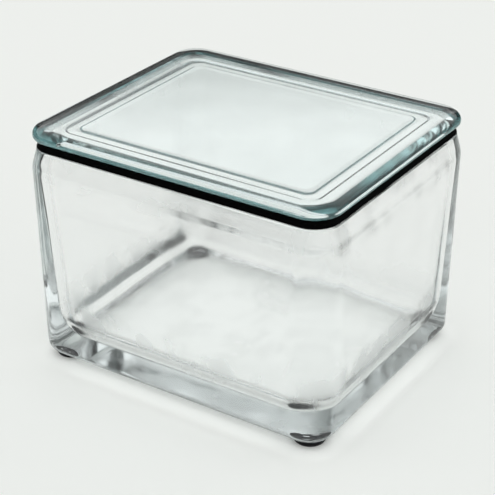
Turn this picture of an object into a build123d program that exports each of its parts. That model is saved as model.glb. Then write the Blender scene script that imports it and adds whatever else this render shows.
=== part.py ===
from build123d import *
from math import atan2, degrees
import os

# Rectangular pressed-glass dish with a loose glass lid, a rubber sealing ring between lid and rim,
# and four self-adhesive rubber bumper feet. Millimetres. The origin is on the table, under the
# middle of the dish, with +Z up, X along the long side and the front at -Y.

# Driving dimensions ----------------------------------------------------------------------------
jar_length = 125.0  # over the walls, just below the shoulder
jar_width = 104.2
jar_height = 82.1  # from the underside of the glass to the rim
jar_corner_radius = 11.4  # vertical outer corners, just below the shoulder
wall_flare = 1.3  # how far each outer wall leans out from the underside to the shoulder
underside_edge_radius = 4.5

shoulder_height = 7.0  # the walls turn in to the rim over this height
shoulder_inset = 2.0
shoulder_blend_radius = 10.0
rim_edge_radius = 0.7

base_thickness = 7.4
rim_wall = 4.6  # width of the rim, with its rounded edges
throat_drop = 8.2  # from the rim to the widest level of the cavity
throat_wall = 5.0  # from the jar's greatest outline to the cavity's
throat_corner_radius = 8.5
floor_wall = 7.2  # from the jar's greatest outline to the foot of the cavity's walls
floor_corner_radius = 12.5
floor_edge_radius = 11.0

gasket_ring = 2.5  # width of the rubber seen from above
gasket_thickness = 3.5
gasket_edge_radius = 0.4

lid_overhang = 1.2  # of the lid beyond the gasket
lid_corner_radius = 10.5
lid_thickness = 4.7
lid_shoulder_run = 4.4  # the top falls to the edge along a quarter ellipse
lid_shoulder_drop = 3.0
lid_lower_edge_radius = 1.5

plug_clearance = 0.3  # of the lid's plug inside the gasket and above the rim
plug_corner_radius = 6.5
plug_edge_radius = 0.5
plug_draft = 2.0  # degrees
recess_inset = 9.9  # of the shallow recess in the plug, from the lid's edge
recess_depth = 1.0
recess_corner_radius = 5.0
panel_inset = 14.0  # of the panel raised in that recess
panel_depth = 0.8
panel_corner_radius = 3.5
relief_draft = 15.0  # degrees, on the sides of the recess and the panel
relief_edge_radius = 0.35

foot_diameter = 12.7
foot_tread_diameter = 10.8
foot_height = 1.8
foot_edge_radius = 0.6
adhesive_diameter = 12.1
adhesive_thickness = 0.3
foot_inset = 9.2  # of each foot's centre from the sides of the underside

# Levels above the table and sizes that follow ---------------------------------------------------
underside_z = foot_height + adhesive_thickness
floor_z = underside_z + base_thickness
rim_z = underside_z + jar_height
shoulder_z = rim_z - shoulder_height
throat_z = rim_z - throat_drop
gasket_top_z = rim_z + gasket_thickness
plug_z = rim_z + plug_clearance
recess_z = plug_z + recess_depth
panel_z = recess_z - panel_depth

base_length = jar_length - 2 * wall_flare
base_width = jar_width - 2 * wall_flare
base_corner_radius = jar_corner_radius - wall_flare
outer_draft = degrees(atan2(wall_flare, shoulder_z - underside_z))
shoulder_lean = degrees(atan2(shoulder_inset, shoulder_height))

mouth_inset = shoulder_inset + rim_wall
throat_length = jar_length - 2 * throat_wall
throat_width = jar_width - 2 * throat_wall
floor_length = jar_length - 2 * floor_wall
floor_width = jar_width - 2 * floor_wall
mouth_lean = degrees(atan2(mouth_inset - throat_wall, throat_drop))

gasket_length = jar_length - 2 * shoulder_inset
gasket_width = jar_width - 2 * shoulder_inset
gasket_corner_radius = jar_corner_radius - shoulder_inset
lid_length = gasket_length + 2 * lid_overhang
lid_width = gasket_width + 2 * lid_overhang
plug_length = gasket_length - 2 * (gasket_ring + plug_clearance)
plug_width = gasket_width - 2 * (gasket_ring + plug_clearance)
flat_length = lid_length - 2 * lid_shoulder_run
flat_width = lid_width - 2 * lid_shoulder_run
flat_corner_radius = lid_corner_radius - lid_shoulder_run

foot_x = base_length / 2 - foot_inset
foot_y = base_width / 2 - foot_inset

os.makedirs("parts", exist_ok=True)


def edges_at(level, part):
    """The part's edges that lie level at this height."""
    return part.edges().filter_by(lambda edge: abs(edge.center().Z - level) < 1e-3)


# Jar: drafted walls, a turned-in shoulder, a thick base and a drafted cavity ---------------------
with BuildPart() as jar:
    with BuildSketch(Plane.XY.offset(underside_z)):
        RectangleRounded(base_length, base_width, base_corner_radius)
    extrude(amount=shoulder_z - underside_z, taper=-outer_draft)
    with BuildSketch(Plane.XY.offset(shoulder_z)):
        RectangleRounded(jar_length, jar_width, jar_corner_radius)
    extrude(amount=shoulder_height, taper=shoulder_lean)
    fillet(edges_at(shoulder_z, jar.part), shoulder_blend_radius)
    fillet(edges_at(underside_z, jar.part), underside_edge_radius)
    fillet(edges_at(rim_z, jar.part), rim_edge_radius)

    with BuildSketch(Plane.XY.offset(floor_z)):
        RectangleRounded(floor_length, floor_width, floor_corner_radius)
    with BuildSketch(Plane.XY.offset(throat_z)):
        RectangleRounded(throat_length, throat_width, throat_corner_radius)
    loft(ruled=True, mode=Mode.SUBTRACT)
    with BuildSketch(Plane.XY.offset(throat_z)):
        RectangleRounded(throat_length, throat_width, throat_corner_radius)
    extrude(amount=throat_drop, taper=mouth_lean, mode=Mode.SUBTRACT)
    fillet(edges_at(floor_z, jar.part), floor_edge_radius)
    mouth = jar.faces().sort_by(Axis.Z)[-1].inner_wires()[0]
    fillet(mouth.edges(), rim_edge_radius)
jar.part.label = "jar"
export_step(jar.part, "parts/jar.step")

# Gasket: a flat rubber ring that lies on the outer part of the rim --------------------------------
with BuildPart() as gasket:
    with BuildSketch(Plane.XY.offset(rim_z)):
        RectangleRounded(gasket_length, gasket_width, gasket_corner_radius)
        RectangleRounded(
            gasket_length - 2 * gasket_ring,
            gasket_width - 2 * gasket_ring,
            gasket_corner_radius - gasket_ring,
            mode=Mode.SUBTRACT,
        )
    extrude(amount=gasket_thickness)
    fillet(edges_at(rim_z, gasket.part) + edges_at(gasket_top_z, gasket.part), gasket_edge_radius)
gasket.part.label = "gasket"
export_step(gasket.part, "parts/gasket.step")

# Lid: a flat plate with an edge swept round it, and below it a plug that keeps the gasket in place,
# with a recess and a panel in its underside
with BuildPart() as lid:
    with BuildSketch(Plane.XY.offset(gasket_top_z)) as flat:
        RectangleRounded(flat_length, flat_width, flat_corner_radius)
    extrude(amount=lid_thickness)

    outline = flat.sketch.faces()[0].outer_wire()
    along = outline % 0
    outward = along.cross(Vector(0, 0, 1))
    if outward.dot(outline @ 0) < 0:
        outward = -outward
    across_edge = Plane(origin=outline @ 0, x_dir=outward, z_dir=outward.cross(Vector(0, 0, 1)))
    with BuildSketch(across_edge):
        with BuildLine():
            nose_height = lid_thickness - lid_shoulder_drop
            nose_start = lid_shoulder_run - lid_lower_edge_radius
            Line((0, 0), (nose_start, 0))
            CenterArc((nose_start, lid_lower_edge_radius), lid_lower_edge_radius, -90, 90)
            Line((lid_shoulder_run, lid_lower_edge_radius), (lid_shoulder_run, nose_height))
            EllipticalCenterArc((0, nose_height), lid_shoulder_run, lid_shoulder_drop, 0, arc_size=90)
            Line((0, lid_thickness), (0, 0))
        make_face()
    sweep(path=outline)

    with BuildSketch(Plane.XY.offset(gasket_top_z)):
        RectangleRounded(plug_length, plug_width, plug_corner_radius)
    extrude(amount=plug_z - gasket_top_z, taper=plug_draft)
    fillet(edges_at(plug_z, lid.part), plug_edge_radius)
    with BuildSketch(Plane.XY.offset(plug_z)):
        RectangleRounded(
            lid_length - 2 * recess_inset,
            lid_width - 2 * recess_inset,
            recess_corner_radius,
        )
    extrude(amount=recess_depth, taper=relief_draft, mode=Mode.SUBTRACT)
    fillet(lid.faces().sort_by(Axis.Z)[0].inner_wires()[0].edges(), relief_edge_radius)
    with BuildSketch(Plane.XY.offset(recess_z)):
        RectangleRounded(
            lid_length - 2 * panel_inset,
            lid_width - 2 * panel_inset,
            panel_corner_radius,
        )
    extrude(amount=-panel_depth, taper=relief_draft)
    fillet(edges_at(panel_z, lid.part), relief_edge_radius)
lid.part.label = "lid"
export_step(lid.part, "parts/lid.step")


# Feet: a tapered rubber bumper under each corner, and the adhesive disc that holds it -------------
def make_foot(name, x, y):
    with BuildPart() as foot:
        with BuildSketch(Plane(origin=(x, y, 0))):
            Circle(foot_tread_diameter / 2)
        with BuildSketch(Plane(origin=(x, y, foot_height))):
            Circle(foot_diameter / 2)
        loft()
        fillet(edges_at(0, foot.part), foot_edge_radius)
    foot.part.label = f"foot_{name}"
    export_step(foot.part, f"parts/foot_{name}.step")

    with BuildPart() as adhesive:
        with BuildSketch(Plane(origin=(x, y, foot_height))):
            Circle(adhesive_diameter / 2)
        extrude(amount=adhesive_thickness)
    adhesive.part.label = f"foot_adhesive_{name}"
    export_step(adhesive.part, f"parts/foot_adhesive_{name}.step")


make_foot("front_left", -foot_x, -foot_y)
make_foot("front_right", foot_x, -foot_y)
make_foot("back_left", -foot_x, foot_y)
make_foot("back_right", foot_x, foot_y)
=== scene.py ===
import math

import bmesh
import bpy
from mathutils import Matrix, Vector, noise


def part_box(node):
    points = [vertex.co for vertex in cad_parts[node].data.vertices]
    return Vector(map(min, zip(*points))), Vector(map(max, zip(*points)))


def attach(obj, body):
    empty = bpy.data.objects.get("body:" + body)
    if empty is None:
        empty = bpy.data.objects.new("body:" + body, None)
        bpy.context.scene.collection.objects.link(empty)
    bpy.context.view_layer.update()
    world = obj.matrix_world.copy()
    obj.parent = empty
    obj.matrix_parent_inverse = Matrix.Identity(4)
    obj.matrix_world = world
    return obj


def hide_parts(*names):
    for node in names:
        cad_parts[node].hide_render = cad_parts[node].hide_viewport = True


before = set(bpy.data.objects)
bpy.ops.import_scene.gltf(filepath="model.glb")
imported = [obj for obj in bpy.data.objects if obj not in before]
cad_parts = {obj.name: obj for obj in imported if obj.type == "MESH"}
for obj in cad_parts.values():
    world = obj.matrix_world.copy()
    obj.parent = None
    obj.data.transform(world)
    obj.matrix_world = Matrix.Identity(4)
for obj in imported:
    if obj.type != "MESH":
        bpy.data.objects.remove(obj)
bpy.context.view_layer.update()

# A rectangular pressed-glass dish with a loose lid of tinted glass, a black rubber ring between
# them, and four self-adhesive bumper feet. Every piece is a closed mesh that stands in for one CAD
# node. Profiles and levels are in millimetres, as in the CAD model, and a profile's points are
# (inset from the piece's outline, height above the table).

MM = 0.001
CORNERS = ("front_left", "front_right", "back_left", "back_right")

# ---------------------------------------------------------------- sizes
JAR_LOW, JAR_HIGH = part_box("jar")
LID_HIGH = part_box("lid")[1]
RING_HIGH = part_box("gasket")[1]

UNDERSIDE = JAR_LOW.z / MM
RIM = JAR_HIGH.z / MM
JAR_HALF_X, JAR_HALF_Y = 62.5, 52.1
JAR_RADIUS = 11.4
WALL_FLARE = 1.3
UNDERSIDE_EDGE = 4.5
SHOULDER = RIM - 7.0
SHOULDER_INSET = 2.0
SHOULDER_BLEND = 10.0
RIM_EDGE = 0.7

CAVITY_FLOOR = UNDERSIDE + 7.4
FLOOR_INSET = 7.2
FLOOR_CORNER = 12.5
FLOOR_EDGE = 11.0
THROAT = RIM - 8.2
THROAT_INSET = 5.0
THROAT_CORNER = 8.5
MOUTH_INSET = SHOULDER_INSET + 4.6

RING_HALF_X, RING_HALF_Y = RING_HIGH.x / MM, RING_HIGH.y / MM
RING_CORNER = JAR_RADIUS - SHOULDER_INSET
RING_WIDTH = 2.5
RING_EDGE = 0.4

LID_HALF_X, LID_HALF_Y = LID_HIGH.x / MM, LID_HIGH.y / MM
LID_CORNER = 10.5
LID_TOP = LID_HIGH.z / MM
LID_BASE = RING_HIGH.z / MM
LID_RUN, LID_DROP = 4.4, 3.0
LID_NOSE = LID_TOP - LID_DROP  # where the upright edge ends and the sloping one begins
LID_LOWER_EDGE = 1.5
PLUG_CLEARANCE = 0.3  # of the lid's plug inside the ring and above the rim
PLUG_CORNER, PLUG_EDGE, PLUG_ROOT = 6.5, 0.5, 0.1
RECESS_INSET, RECESS_DEPTH, RECESS_CORNER = 9.9, 1.0, 5.0
PANEL_INSET, PANEL_DEPTH, PANEL_CORNER = 14.0, 0.8, 3.5
RELIEF_EDGE = 0.35
PLUG_DRAFT = math.tan(math.radians(2))
RELIEF_DRAFT = math.tan(math.radians(15))

FOOT_TAPER = 0.95  # how much smaller in radius the tread is than the top
FOOT_EDGE, FOOT_TOP_EDGE = 0.6, 0.12
FOOT_MIDDLE, ADHESIVE_MIDDLE = 0.5, 0.4  # radii at which their level faces end in a fan
ADHESIVE_ROWS = 20
ADHESIVE_RISE, ADHESIVE_LUMPS, LUMP_SIZE = 0.02, 0.06, 1.3

MIDDLE = 40.0  # inset at which a level face of glass ends in a fan to its middle
MIDDLE_CORNER = 3.0
SPACING = 2.5  # longest side of a mesh face along a profile
STEPS_X, STEPS_Y, CORNER_STEPS = 44, 36, 12  # mesh faces along each side and round each corner
CIRCLE_STEPS = 72
NOSE_STEPS = 14
RING_EDGE_STEPS = 4
AIR = 0.02  # film of air between the ring and the rim below it
TOUCH = 0.01  # how far the ring is pressed into the lid above it

JAR_WAVE, JAR_WAVE_SIZE, JAR_WAVE_SEED = 0.14, 18.0, 3.7  # the unevenness of pressed glass
LID_WAVE, LID_WAVE_SIZE, LID_WAVE_SEED = 0.04, 16.0, 8.1
CALM_SHOULDER = 12.0  # height over which the jar's waves die out towards the shoulder
CALM_UNDERSIDE, CALM_EDGE = 0.5, 4.0  # level part left flat, and the height over which waves grow
CALM_LID = 0.8  # share of the lid's half size beyond which its underside is flat


# ---------------------------------------------------------------- mesh helpers
def rounded_ring(half_x, half_y, radius, z):
    """Points of a level rounded rectangle, anticlockwise from the left end of the front side."""
    flat_x, flat_y = half_x - radius, half_y - radius
    sides = (
        (Vector((-flat_x, -half_y, z)), Vector((flat_x, -half_y, z)), STEPS_X, -90),
        (Vector((half_x, -flat_y, z)), Vector((half_x, flat_y, z)), STEPS_Y, 0),
        (Vector((flat_x, half_y, z)), Vector((-flat_x, half_y, z)), STEPS_X, 90),
        (Vector((-half_x, flat_y, z)), Vector((-half_x, -flat_y, z)), STEPS_Y, 180),
    )
    points = []
    for start, end, steps, turn in sides:
        points += [start.lerp(end, i / steps) for i in range(steps)]
        outward = Vector((math.cos(math.radians(turn)), math.sin(math.radians(turn)), 0))
        centre = end - radius * outward
        for i in range(CORNER_STEPS):
            angle = math.radians(turn + 90 * i / CORNER_STEPS)
            points.append(centre + radius * Vector((math.cos(angle), math.sin(angle), 0)))
    return points


def circle_ring(centre, radius, z):
    """Points of a level circle."""
    points = []
    for i in range(CIRCLE_STEPS):
        angle = 2 * math.pi * i / CIRCLE_STEPS
        points.append(Vector((centre.x + radius * math.cos(angle), centre.y + radius * math.sin(angle), z)))
    return points


def skin(name, rings, capped=True):
    """A smooth closed mesh through rings of equal counts, capped with fans or joined end to end."""
    mesh = bmesh.new()
    rows = [[mesh.verts.new(point * MM) for point in ring] for ring in rings]
    count = len(rows[0])
    pairs = list(zip(rows, rows[1:]))
    if not capped:
        pairs.append((rows[-1], rows[0]))
    for low, high in pairs:
        for i in range(count):
            j = (i + 1) % count
            mesh.faces.new((low[i], low[j], high[j], high[i]))
    if capped:
        for row in (rows[0], rows[-1]):
            middle = mesh.verts.new(sum((v.co for v in row), Vector()) / count)
            for i in range(count):
                mesh.faces.new((row[i], row[(i + 1) % count], middle))
    bmesh.ops.recalc_face_normals(mesh, faces=mesh.faces)
    data = bpy.data.meshes.new(name)
    mesh.to_mesh(data)
    mesh.free()
    data.shade_smooth()
    piece = bpy.data.objects.new(name, data)
    bpy.context.scene.collection.objects.link(piece)
    return piece


def waved(piece, depth, size, seed, share):
    """Sinks the surface by up to depth, in soft waves; share says how much of it a point gets."""
    vertices = piece.data.vertices
    normals = [v.normal.copy() for v in vertices]
    for vertex, normal in zip(vertices, normals):
        point = vertex.co / MM
        wave = 0.5 + 0.5 * noise.noise(point / size + Vector((seed, 0, 0)))
        vertex.co -= normal * (depth * MM * share(point) * wave)


def smoothed(points, radii):
    """A profile with its inner points rounded, each by a (radius, steps) pair."""
    points = [Vector(p) for p in points]
    out = [points[0]]
    for before, point, after, (radius, steps) in zip(points, points[1:], points[2:], radii):
        u, v = (before - point).normalized(), (after - point).normalized()
        half = u.angle(v) / 2
        centre = point + (u + v).normalized() * (radius / math.sin(half))
        first = point + u * (radius / math.tan(half)) - centre
        last = point + v * (radius / math.tan(half)) - centre
        for i in range(steps + 1):
            out.append(centre + first.lerp(last, i / steps).normalized() * radius)
    return out + [points[-1]]


def divided(points):
    """The profile with its long straight stretches cut up."""
    out = [points[0]]
    for a, b in zip(points, points[1:]):
        steps = max(1, math.ceil((b - a).length / SPACING))
        out += [a.lerp(b, i / steps) for i in range(1, steps + 1)]
    return out


def between(knots, x):
    """Straight interpolation through (x, value) knots in rising order of x."""
    for (x0, v0), (x1, v1) in zip(knots, knots[1:]):
        if x <= x1:
            return v0 + (v1 - v0) * (x - x0) / (x1 - x0)
    return knots[-1][1]


# ---------------------------------------------------------------- the jar
def jar_rings():
    """The outside from the middle of the underside up to the rim, then the cavity down to its floor."""
    rim_middle = (SHOULDER_INSET + MOUTH_INSET) / 2
    outside = smoothed(
        [
            (MIDDLE, UNDERSIDE),
            (WALL_FLARE, UNDERSIDE),
            (0, SHOULDER),
            (SHOULDER_INSET, RIM),
            (rim_middle, RIM),
        ],
        [(UNDERSIDE_EDGE, 8), (SHOULDER_BLEND, 6), (RIM_EDGE, 4)],
    )
    inside = smoothed(
        [
            (rim_middle, RIM),
            (MOUTH_INSET, RIM),
            (THROAT_INSET, THROAT),
            (FLOOR_INSET, CAVITY_FLOOR),
            (MIDDLE, CAVITY_FLOOR),
        ],
        [(RIM_EDGE, 4), (SHOULDER_BLEND, 6), (FLOOR_EDGE, 10)],
    )
    rings = []
    for p in divided(outside):
        radius = max(JAR_RADIUS - p.x, MIDDLE_CORNER)
        rings.append(rounded_ring(JAR_HALF_X - p.x, JAR_HALF_Y - p.x, radius, p.y))
    for p in divided(inside)[1:]:
        wall_inset = between(((CAVITY_FLOOR, FLOOR_INSET), (THROAT, THROAT_INSET)), p.y)
        wall_corner = between(((CAVITY_FLOOR, FLOOR_CORNER), (THROAT, THROAT_CORNER)), p.y)
        radius = max(wall_corner - (p.x - wall_inset), MIDDLE_CORNER)
        rings.append(rounded_ring(JAR_HALF_X - p.x, JAR_HALF_Y - p.x, radius, p.y))
    return rings


def jar_share(point):
    """Full waves on the walls and the floor, none at the rim or where the feet stick."""
    below_shoulder = min(max((SHOULDER - point.z) / CALM_SHOULDER, 0), 1)
    above_underside = min(max((point.z - UNDERSIDE - CALM_UNDERSIDE) / CALM_EDGE, 0), 1)
    return below_shoulder * above_underside


jar = skin("jar_glass", jar_rings())
waved(jar, JAR_WAVE, JAR_WAVE_SIZE, JAR_WAVE_SEED, jar_share)


# ---------------------------------------------------------------- the lid
def lid_rings():
    """The underside from the middle of its panel out to the edge, then over the edge to the top."""
    plug_inset = LID_HALF_X - RING_HALF_X + RING_WIDTH + PLUG_CLEARANCE
    plug_z = RIM + PLUG_CLEARANCE
    recess_z = plug_z + RECESS_DEPTH
    panel_z = recess_z - PANEL_DEPTH
    under = smoothed(
        [
            (MIDDLE, panel_z),
            (PANEL_INSET + RELIEF_DRAFT * PANEL_DEPTH, panel_z),
            (PANEL_INSET, recess_z),
            (RECESS_INSET + RELIEF_DRAFT * RECESS_DEPTH, recess_z),
            (RECESS_INSET, plug_z),
            (plug_inset + PLUG_DRAFT * (LID_BASE - plug_z), plug_z),
            (plug_inset, LID_BASE),
            (0, LID_BASE),
            (0, LID_NOSE),
        ],
        [(RELIEF_EDGE, 3)] * 4 + [(PLUG_EDGE, 4), (PLUG_ROOT, 2), (LID_LOWER_EDGE, 6)],
    )
    over = []
    for i in range(NOSE_STEPS + 1):
        angle = math.radians(90 * i / NOSE_STEPS)
        inset = LID_RUN * (1 - math.cos(angle))
        over.append(Vector((inset, LID_NOSE + LID_DROP * math.sin(angle))))
    over.append(Vector((MIDDLE, LID_TOP)))
    under_corners = (
        (0, LID_CORNER),
        (plug_inset, PLUG_CORNER),
        (RECESS_INSET, RECESS_CORNER),
        (PANEL_INSET, PANEL_CORNER),
        (MIDDLE, MIDDLE_CORNER),
    )
    over_corners = ((0, LID_CORNER), (LID_RUN, LID_CORNER - LID_RUN), (MIDDLE, MIDDLE_CORNER))
    rings = []
    for profile, corners in ((divided(under), under_corners), (divided(over)[1:], over_corners)):
        for p in profile:
            rings.append(rounded_ring(LID_HALF_X - p.x, LID_HALF_Y - p.x, between(corners, p.x), p.y))
    return rings


def lid_share(point):
    """Full waves on the top and under the middle, none near the ring."""
    edge = max(abs(point.x) / LID_HALF_X, abs(point.y) / LID_HALF_Y)
    return 1 if point.z > LID_NOSE or edge < CALM_LID else 0


lid = skin("lid_glass", lid_rings())
waved(lid, LID_WAVE, LID_WAVE_SIZE, LID_WAVE_SEED, lid_share)


# ---------------------------------------------------------------- the rubber ring
def gasket_rings():
    """An oblong section carried round the rim. The arc at each corner is a quarter turn off, which
    leaves each side RING_EDGE inside the section's box, and a small lip at each corner."""
    inner, outer = RING_WIDTH - RING_EDGE, RING_EDGE
    low, high = RIM + AIR + RING_EDGE, LID_BASE + TOUCH - RING_EDGE
    section = []
    for inset, z, start in ((inner, low, 270), (outer, low, 180), (outer, high, 90), (inner, high, 0)):
        for i in range(RING_EDGE_STEPS + 1):
            angle = math.radians(start - 90 * i / RING_EDGE_STEPS)
            section.append((inset + RING_EDGE * math.cos(angle), z + RING_EDGE * math.sin(angle)))
    return [rounded_ring(RING_HALF_X - x, RING_HALF_Y - x, RING_CORNER - x, z) for x, z in section]


gasket = skin("ring_rubber", gasket_rings(), capped=False)


# ---------------------------------------------------------------- feet
def round_box(node):
    """Middle, radius, foot and top of a round CAD node."""
    low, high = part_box(node)
    return (low + high) / 2 / MM, (high.x - low.x) / 2 / MM, low.z / MM, high.z / MM


def foot(corner):
    """A tapered bumper with rounded edges."""
    centre, radius, tread, top = round_box(f"foot_{corner}")
    profile = smoothed(
        [(FOOT_MIDDLE, tread), (radius - FOOT_TAPER, tread), (radius, top), (FOOT_MIDDLE, top)],
        [(FOOT_EDGE, 6), (FOOT_TOP_EDGE, 3)],
    )
    return skin(f"bumper_{corner}", [circle_ring(centre, p.x, p.y) for p in divided(profile)])


def adhesive(corner):
    """A disc of adhesive whose uneven top has wetted the glass in most places, not in all."""
    centre, radius, below, _ = round_box(f"foot_adhesive_{corner}")
    rings = [circle_ring(centre, ADHESIVE_MIDDLE, below), circle_ring(centre, radius, below)]
    for i in range(ADHESIVE_ROWS):
        inward = (radius - ADHESIVE_MIDDLE) * i / (ADHESIVE_ROWS - 1)
        ring = circle_ring(centre, radius - inward, UNDERSIDE)
        for point in ring:
            point.z += ADHESIVE_RISE + ADHESIVE_LUMPS * noise.noise(point / LUMP_SIZE)
        rings.append(ring)
    return skin(f"adhesive_{corner}", rings)


feet = {corner: foot(corner) for corner in CORNERS}
adhesives = {corner: adhesive(corner) for corner in CORNERS}

# ---------------------------------------------------------------- looks
GLASS_IOR = 1.52
CLOUD_SCALE = 45.0
PATCH_FROM, PATCH_TO = 0.35, 0.65  # noise values between which clear glass turns cloudy
JAR_TINT, JAR_DENSITY, JAR_SMOOTH, JAR_CLOUDY = (0.875, 0.90, 0.90), 24.0, 0.03, 0.07
LID_TINT, LID_DENSITY, LID_SMOOTH, LID_CLOUDY = (0.50, 0.79, 0.80), 19.0, 0.04, 0.11

HAZE = (  # heights above the table and the roughness that the cavity gains there
    (CAVITY_FLOOR - 4, 0.0),
    (CAVITY_FLOOR - 1, 0.16),
    (CAVITY_FLOOR + 5, 0.18),
    (CAVITY_FLOOR + 8, 0.32),
    (CAVITY_FLOOR + 13, 0.32),
    (CAVITY_FLOOR + 20, 0.02),
    (THROAT - 8, 0.02),
    (THROAT - 3, 0.18),
    (RIM, 0.18),
)
HAZE_END, HAZE_NONE = 0.93, 0.96  # shares of the jar's half size, inside the walls
HAZE_SCALE, HAZE_FROM, HAZE_TO = 85.0, 0.4, 0.6  # patches in the haze, by noise
HAZE_LEAST, HAZE_MOST = 0.25, 1.25

RUBBER_SPECULAR = 0.06
SPECK_SCALE, SPECK_FROM, SPECK_TO = 0.6, 0.72, 0.80  # the scale is a share of the grain's
RING_DARK, RING_DUST = (0.0002, 0.0002, 0.0003), (0.015, 0.015, 0.015)
RING_GRAIN, RING_BUMP, RING_ROUGHNESS = 1600.0, 0.00005, 0.8
FOOT_DARK, FOOT_DUST = (0.010, 0.010, 0.011), (0.04, 0.04, 0.04)
FOOT_GRAIN, FOOT_BUMP, FOOT_ROUGHNESS = 2200.0, 0.00008, 0.5
ADHESIVE_DARK, ADHESIVE_DUST = (0.045, 0.045, 0.05), (0.16, 0.16, 0.17)
ADHESIVE_GRAIN, ADHESIVE_BUMP, ADHESIVE_ROUGHNESS = 900.0, 0.00005, 0.55

PAPER_HALF = 0.6  # metres
PAPER_COLOUR = (0.81, 0.822, 0.80)
PAPER_ROUGHNESS = 0.9
PAPER_GLOW_COLOUR = (0.98, 1.0, 0.97)
PAPER_GLOW = 0.15

# Brightness of the studio by the sine of the height above the horizon. A dark wall on the left goes
# round behind the dish, a pale one stands on the right, and a bright tent is over both.
SKY_LEFT = ((0.0, 0.04), (0.36, 0.02), (0.397, 1.08), (1.0, 0.60))
SKY_RIGHT = ((0.0, 0.45), (0.28, 0.40), (0.43, 1.0), (1.0, 0.60))
RIGHT_FROM, RIGHT_TO = 0.1, 0.5  # the X of the directions between which one wall becomes the other
SKY_COLOUR = (0.99, 1.0, 0.995)
SKY_STRENGTH = 1.22


# ---------------------------------------------------------------- node helpers
def new_material(name):
    """A node tree, its surface shader and the material that they belong to."""
    material = bpy.data.materials.new(name)
    material.use_nodes = True
    return material.node_tree, material.node_tree.nodes["Principled BSDF"], material


def noise_at(tree, scale, detail):
    """Noise over the piece's own coordinates, in waves per metre."""
    coords = tree.nodes.new("ShaderNodeTexCoord")
    texture = tree.nodes.new("ShaderNodeTexNoise")
    texture.inputs["Scale"].default_value = scale
    texture.inputs["Detail"].default_value = detail
    tree.links.new(coords.outputs["Object"], texture.inputs["Vector"])
    return texture.outputs["Fac"]


def spread(tree, value, low, high, from_low=0.0, from_high=1.0):
    """The value mapped from one range to another, and held inside it."""
    node = tree.nodes.new("ShaderNodeMapRange")
    node.inputs["From Min"].default_value = from_low
    node.inputs["From Max"].default_value = from_high
    node.inputs["To Min"].default_value = low
    node.inputs["To Max"].default_value = high
    tree.links.new(value, node.inputs["Value"])
    return node.outputs["Result"]


def calculated(tree, operation, first, second=0.0):
    """The result of a calculation on one or two values, each a socket or a number."""
    node = tree.nodes.new("ShaderNodeMath")
    node.operation = operation
    for socket, value in zip(node.inputs, (first, second)):
        if isinstance(value, float):
            socket.default_value = value
        else:
            tree.links.new(value, socket)
    return node.outputs[0]


def ramped(tree, value, stops):
    """The colour that the value picks from (value, colour) stops."""
    ramp = tree.nodes.new("ShaderNodeValToRGB")
    elements = ramp.color_ramp.elements
    while len(elements) < len(stops):
        elements.new(0.5)
    for element, (place, colour) in zip(elements, stops):
        element.position = place
        element.color = (*colour, 1)
    tree.links.new(value, ramp.inputs["Fac"])
    return ramp.outputs["Color"]


# ---------------------------------------------------------------- materials
def cavity_haze(tree):
    """How hazy the cavity is where the pressing tool left its skin: at its foot and in its throat."""
    coords = tree.nodes.new("ShaderNodeTexCoord")
    place = tree.nodes.new("ShaderNodeSeparateXYZ")
    tree.links.new(coords.outputs["Object"], place.inputs["Vector"])
    x = calculated(tree, "DIVIDE", calculated(tree, "ABSOLUTE", place.outputs["X"]), JAR_HALF_X * MM)
    y = calculated(tree, "DIVIDE", calculated(tree, "ABSOLUTE", place.outputs["Y"]), JAR_HALF_Y * MM)
    inside = spread(tree, calculated(tree, "MAXIMUM", x, y), 1.0, 0.0, HAZE_END, HAZE_NONE)
    height = calculated(tree, "DIVIDE", place.outputs["Z"], RIM * MM)
    haze = ramped(tree, height, [(z / RIM, (level, level, level)) for z, level in HAZE])
    patches = spread(tree, noise_at(tree, HAZE_SCALE, 2.0), HAZE_LEAST, HAZE_MOST, HAZE_FROM, HAZE_TO)
    return calculated(tree, "MULTIPLY", calculated(tree, "MULTIPLY", haze, inside), patches)


def glass(name, tint, density, smooth, cloudy, hazy=False):
    """Pressed glass: fire-polished where it is smooth, with faintly cloudy patches."""
    tree, shader, material = new_material(name)
    shader.inputs["Base Color"].default_value = (1, 1, 1, 1)
    shader.inputs["IOR"].default_value = GLASS_IOR
    shader.inputs["Transmission Weight"].default_value = 1.0
    roughness = spread(tree, noise_at(tree, CLOUD_SCALE, 3.0), smooth, cloudy, PATCH_FROM, PATCH_TO)
    if hazy:
        roughness = calculated(tree, "ADD", roughness, cavity_haze(tree))
    tree.links.new(roughness, shader.inputs["Roughness"])
    absorb = tree.nodes.new("ShaderNodeVolumeAbsorption")
    absorb.inputs["Color"].default_value = (*tint, 1)
    absorb.inputs["Density"].default_value = density
    tree.links.new(absorb.outputs["Volume"], tree.nodes["Material Output"].inputs["Volume"])
    return material


def rubber(name, dark, dust, grain, bump_height, roughness):
    """Matt rubber with a fine moulded grain and a few pale specks of dust."""
    tree, shader, material = new_material(name)
    shader.inputs["Specular IOR Level"].default_value = RUBBER_SPECULAR
    grain_noise = noise_at(tree, grain, 3.0)
    specks = spread(tree, noise_at(tree, grain * SPECK_SCALE, 1.0), 0.0, 1.0, SPECK_FROM, SPECK_TO)
    tree.links.new(ramped(tree, specks, ((0.0, dark), (1.0, dust))), shader.inputs["Base Color"])
    tree.links.new(spread(tree, grain_noise, roughness - 0.1, roughness + 0.1), shader.inputs["Roughness"])
    bump = tree.nodes.new("ShaderNodeBump")
    bump.inputs["Distance"].default_value = bump_height
    tree.links.new(grain_noise, bump.inputs["Height"])
    tree.links.new(bump.outputs["Normal"], shader.inputs["Normal"])
    return material


def finish(piece, body, node, material):
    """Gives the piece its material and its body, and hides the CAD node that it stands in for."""
    piece.data.materials.append(material)
    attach(piece, body)
    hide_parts(node)


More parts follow.
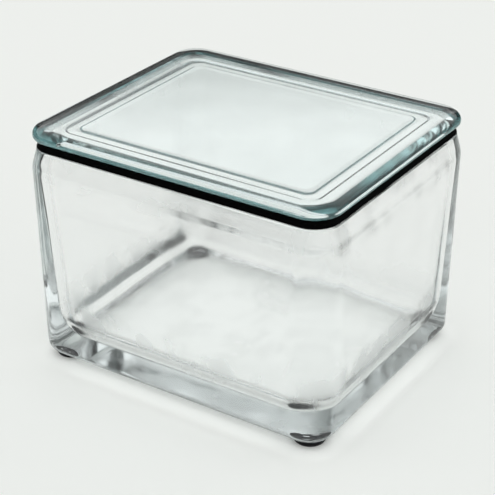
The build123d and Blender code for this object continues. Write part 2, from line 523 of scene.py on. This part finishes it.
clear_glass = glass("clear_glass", JAR_TINT, JAR_DENSITY, JAR_SMOOTH, JAR_CLOUDY, hazy=True)
tinted_glass = glass("tinted_glass", LID_TINT, LID_DENSITY, LID_SMOOTH, LID_CLOUDY)
ring_black = rubber("ring_black", RING_DARK, RING_DUST, RING_GRAIN, RING_BUMP, RING_ROUGHNESS)
foot_black = rubber("foot_black", FOOT_DARK, FOOT_DUST, FOOT_GRAIN, FOOT_BUMP, FOOT_ROUGHNESS)
adhesive_grey = rubber(
    "adhesive_grey",
    ADHESIVE_DARK,
    ADHESIVE_DUST,
    ADHESIVE_GRAIN,
    ADHESIVE_BUMP,
    ADHESIVE_ROUGHNESS,
)

finish(jar, "dish", "jar", clear_glass)
finish(gasket, "ring", "gasket", ring_black)
finish(lid, "cover", "lid", tinted_glass)
for corner in CORNERS:
    finish(feet[corner], "dish", f"foot_{corner}", foot_black)
    finish(adhesives[corner], "dish", f"foot_adhesive_{corner}", adhesive_grey)


# ---------------------------------------------------------------- floor and light
def paper_floor():
    """A sheet of pale paper, a little lit from below as on a light table."""
    data = bpy.data.meshes.new("floor")
    h = PAPER_HALF
    data.from_pydata([(-h, -h, 0), (h, -h, 0), (h, h, 0), (-h, h, 0)], [], [(0, 1, 2, 3)])
    sheet = bpy.data.objects.new("floor", data)
    bpy.context.scene.collection.objects.link(sheet)
    tree, shader, material = new_material("floor_paper")
    shader.inputs["Base Color"].default_value = (*PAPER_COLOUR, 1)
    shader.inputs["Roughness"].default_value = PAPER_ROUGHNESS
    shader.inputs["Emission Color"].default_value = (*PAPER_GLOW_COLOUR, 1)
    shader.inputs["Emission Strength"].default_value = PAPER_GLOW
    data.materials.append(material)


def studio_wall(tree, sine, levels):
    """The studio's colour on one side, through (sine of the height, brightness) pairs."""
    stops = [(place, [level * c for c in SKY_COLOUR]) for place, level in levels]
    return ramped(tree, sine, stops)


def studio():
    """A world that is darker near the horizon, most of all on the left."""
    world = bpy.data.worlds.new("studio")
    bpy.context.scene.world = world
    world.use_nodes = True
    tree = world.node_tree
    coords = tree.nodes.new("ShaderNodeTexCoord")
    split = tree.nodes.new("ShaderNodeSeparateXYZ")
    tree.links.new(coords.outputs["Generated"], split.inputs["Vector"])
    walls = tree.nodes.new("ShaderNodeMix")
    walls.data_type = "RGBA"
    factor, left, right = walls.inputs[0], walls.inputs[6], walls.inputs[7]
    tree.links.new(spread(tree, split.outputs["X"], 0.0, 1.0, RIGHT_FROM, RIGHT_TO), factor)
    tree.links.new(studio_wall(tree, split.outputs["Z"], SKY_LEFT), left)
    tree.links.new(studio_wall(tree, split.outputs["Z"], SKY_RIGHT), right)
    mixed_colour = walls.outputs[2]
    tree.links.new(mixed_colour, tree.nodes["Background"].inputs["Color"])
    tree.nodes["Background"].inputs["Strength"].default_value = SKY_STRENGTH


paper_floor()
studio()

# ---------------------------------------------------------------- camera
AZIMUTH, ELEVATION = math.radians(33.11), math.radians(27.96)
AIM = Vector((-8.58, 12.24, 32.55))
DISTANCE = 564.6
LENS, SENSOR = 108.17, 36.0
NEAR, FAR = 0.01, 100.0  # metres


def aim_camera():
    """A long lens to the right of the front, looking down on the dish."""
    flat = math.cos(ELEVATION)
    back = Vector((math.sin(AZIMUTH) * flat, -math.cos(AZIMUTH) * flat, math.sin(ELEVATION)))
    camera = bpy.data.objects.new("camera", bpy.data.cameras.new("camera"))
    bpy.context.scene.collection.objects.link(camera)
    camera.data.sensor_width = SENSOR
    camera.data.lens = LENS
    camera.data.clip_start, camera.data.clip_end = NEAR, FAR
    camera.location = (AIM + back * DISTANCE) * MM
    camera.rotation_mode = "QUATERNION"
    camera.rotation_quaternion = (-back).to_track_quat("-Z", "Y")
    bpy.context.scene.camera = camera


aim_camera()
scene = bpy.context.scene
scene.view_settings.view_transform = "Standard"
scene.cycles.max_bounces = 24
scene.cycles.transmission_bounces = 24
scene.cycles.glossy_bounces = 12
scene.cycles.blur_glossy = 0.0
